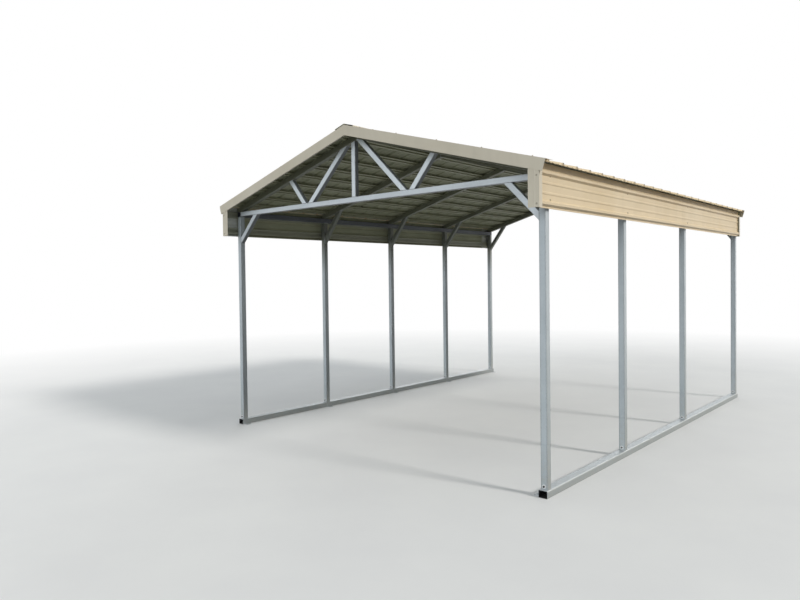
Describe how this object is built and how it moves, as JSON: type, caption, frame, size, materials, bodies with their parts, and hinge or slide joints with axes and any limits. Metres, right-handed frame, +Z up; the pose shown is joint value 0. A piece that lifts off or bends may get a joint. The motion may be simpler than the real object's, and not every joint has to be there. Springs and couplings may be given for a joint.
{
  "type": "open steel carport with a gable roof",
  "caption": "Open-sided gable-roof carport: square-tube frame on base rails, front truss with knee braces, ribbed sheet roof and short ribbed side panels under the eaves.",
  "frame": {"origin": "on the ground, under the middle of the roof plan", "axes": "+Z up, +Y from the front gable, where a car drives in, to the rear; +X to the right seen from the front"},
  "size_m": [4.2148, 5.419, 3.1469],
  "materials": {
    "galvanised_tube": "galvanised, matt with faint spangle",
    "galvanised_channel": "galvanised, matt",
    "zinc_bolt": "zinc plated",
    "painted_sheet": "tan baked paint, satin",
    "painted_trim": "tan baked paint, satin"
  },
  "bodies": {
    "root": {"anchor_clips_left": "galvanised_tube", "anchor_clips_right": "galvanised_tube", "base_rail_left": "galvanised_tube", "base_rail_right": "galvanised_tube", "bottom_chord": "galvanised_tube", "bottom_trim_left": "painted_trim", "bottom_trim_right": "painted_trim", "corner_trim_front_left": "painted_trim", "corner_trim_front_right": "painted_trim", "corner_trim_rear_left": "painted_trim", "corner_trim_rear_right": "painted_trim", "eave_rail_left": "galvanised_tube", "eave_rail_right": "galvanised_tube", "king_post": "galvanised_tube", "knee_braces_left": "galvanised_tube", "knee_braces_right": "galvanised_tube", "long_web_left": "galvanised_tube", "long_web_right": "galvanised_tube", "post_bolts": "zinc_bolt", "post_left_1": "galvanised_tube", "post_left_2": "galvanised_tube", "post_left_3": "galvanised_tube", "post_left_4": "galvanised_tube", "post_left_5": "galvanised_tube", "post_right_1": "galvanised_tube", "post_right_2": "galvanised_tube", "post_right_3": "galvanised_tube", "post_right_4": "galvanised_tube", "purlins_left": "galvanised_channel", "purlins_right": "galvanised_channel", "rafters_left": "galvanised_tube", "rafters_right": "galvanised_tube", "rake_trim_front_left": "painted_trim", "rake_trim_front_right": "painted_trim", "rake_trim_rear_left": "painted_trim", "rake_trim_rear_right": "painted_trim", "ridge_cap": "painted_trim", "roof_sheet_left": "painted_sheet", "roof_sheet_right": "painted_sheet", "short_web_left": "galvanised_tube", "short_web_right": "galvanised_tube", "side_girts_left": "galvanised_channel", "side_girts_right": "galvanised_channel", "side_panel_left": "painted_sheet", "side_panel_right": "painted_sheet"}
  },
  "joints": []
}
